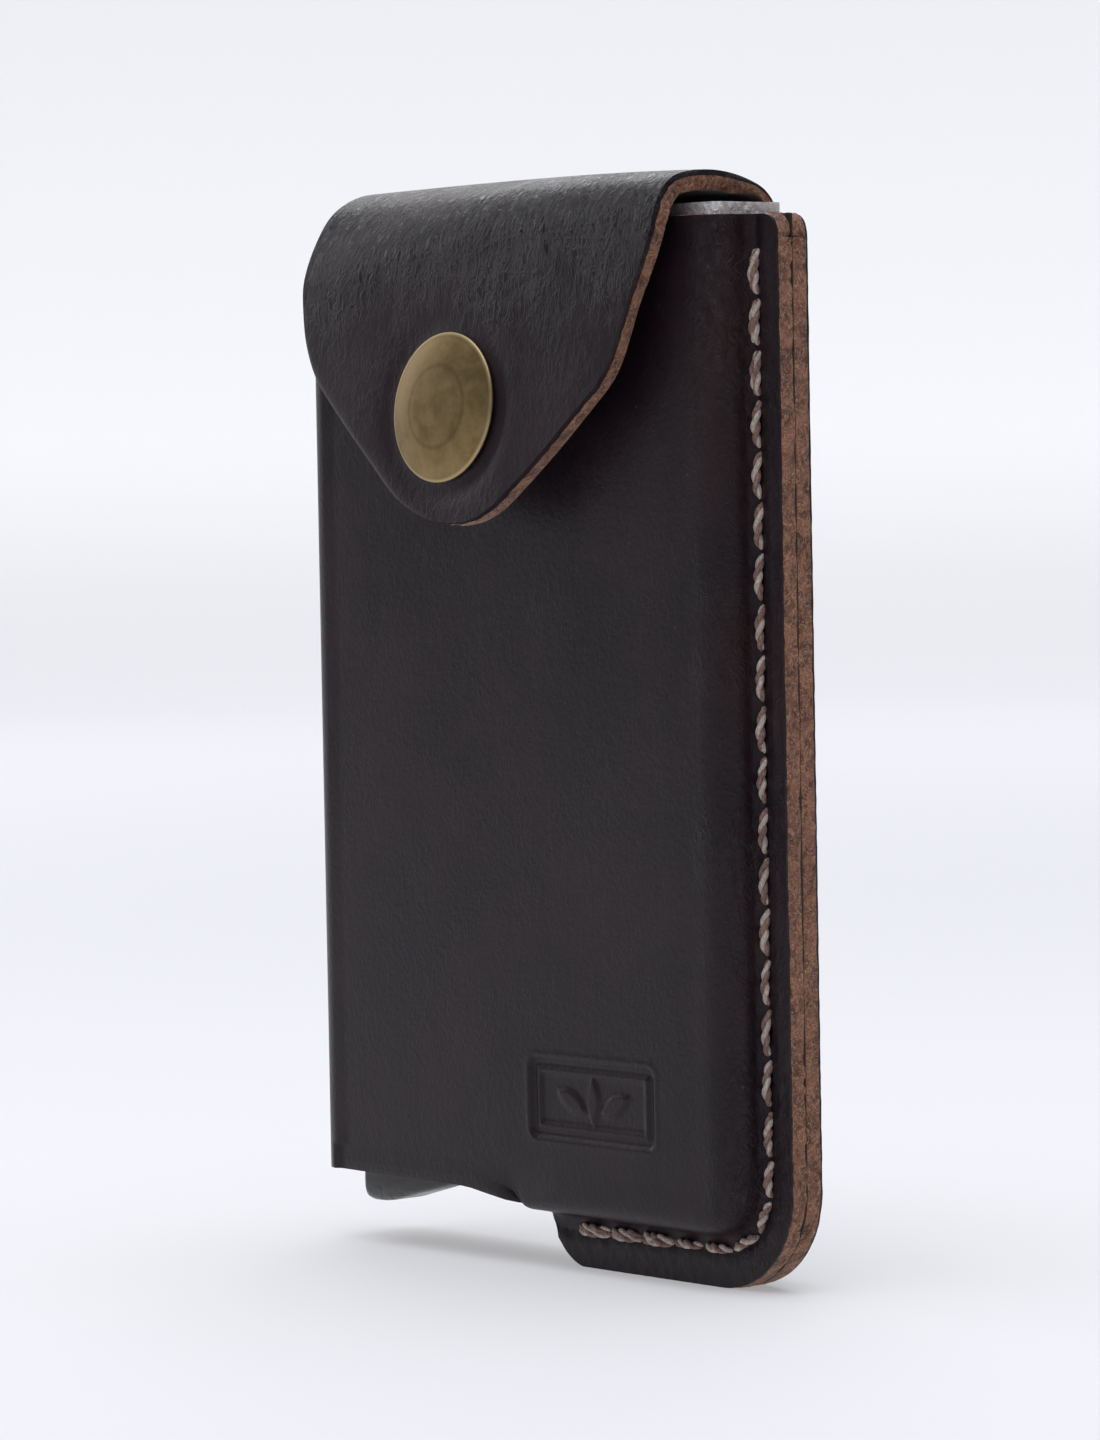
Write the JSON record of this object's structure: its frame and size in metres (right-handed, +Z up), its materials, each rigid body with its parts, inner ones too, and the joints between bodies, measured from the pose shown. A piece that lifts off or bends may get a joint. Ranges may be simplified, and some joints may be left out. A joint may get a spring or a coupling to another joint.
{
  "type": "business card case",
  "caption": "Pop-up card case: slim aluminium shell in a stitched leather sleeve, closed by a leather flap with a brass snap, and a lever below that lifts the cards.",
  "frame": {"origin": "under the centre of the bounding box, on the plane of the stitched tab's lower edge", "axes": "+Z up from the tab to the flap's bend, +X to the flange with the long seam, -Y to the front with the snap"},
  "size_m": [0.0666, 0.0206, 0.1082],
  "materials": {
    "sleeve_leather": "glossy pull-up leather, near-black brown with raw tan edges",
    "flap_leather": "glossy pull-up leather, wrinkled where it bends",
    "cement": "dark dried glue line",
    "thread": "waxed two-tone twisted thread",
    "cap_brass": "antique brass, mottled, rubbed bright at the rim",
    "snap_brass": "plain brass",
    "spring_steel": "bright spring wire",
    "shell_metal": "bright brushed aluminium with a crinkled shine",
    "base_plastic": "black moulded plastic",
    "pin_steel": "ground steel pin",
    "lever_plastic": "dark grey satin moulding",
    "felt": "black felt strip",
    "adhesive": "thin adhesive sheet"
  },
  "bodies": {
    "sleeve": {"leather_sleeve": "sleeve_leather", "flange_cement": "cement", "seam_thread": "thread", "snap_stud": "snap_brass", "snap_post": "snap_brass", "card_shell": "shell_metal", "floor_plate": "base_plastic", "pivot_bracket": "base_plastic", "lever_pin": "pin_steel", "front_friction_pad": "felt", "back_friction_pad": "felt", "front_tape": "adhesive", "back_tape": "adhesive"},
    "flap": {"leather_flap": "flap_leather", "snap_cap": "cap_brass", "snap_socket": "snap_brass", "snap_spring": "spring_steel"},
    "lever": {"ejector_lever": "lever_plastic"}
  },
  "joints": [
    {"name": "flap_hinge", "type": "hinge", "parent": "sleeve", "child": "flap", "pos_m": [-0.00185, 0.01034, 0.1037], "axis": [-1, 0, 0], "range_deg": [0, 170]},
    {"name": "lever_pivot", "type": "hinge", "parent": "sleeve", "child": "lever", "pos_m": [-0.0269, 0.00364, 0.0122], "axis": [0, -1, 0], "range_deg": [0, 24]}
  ]
}
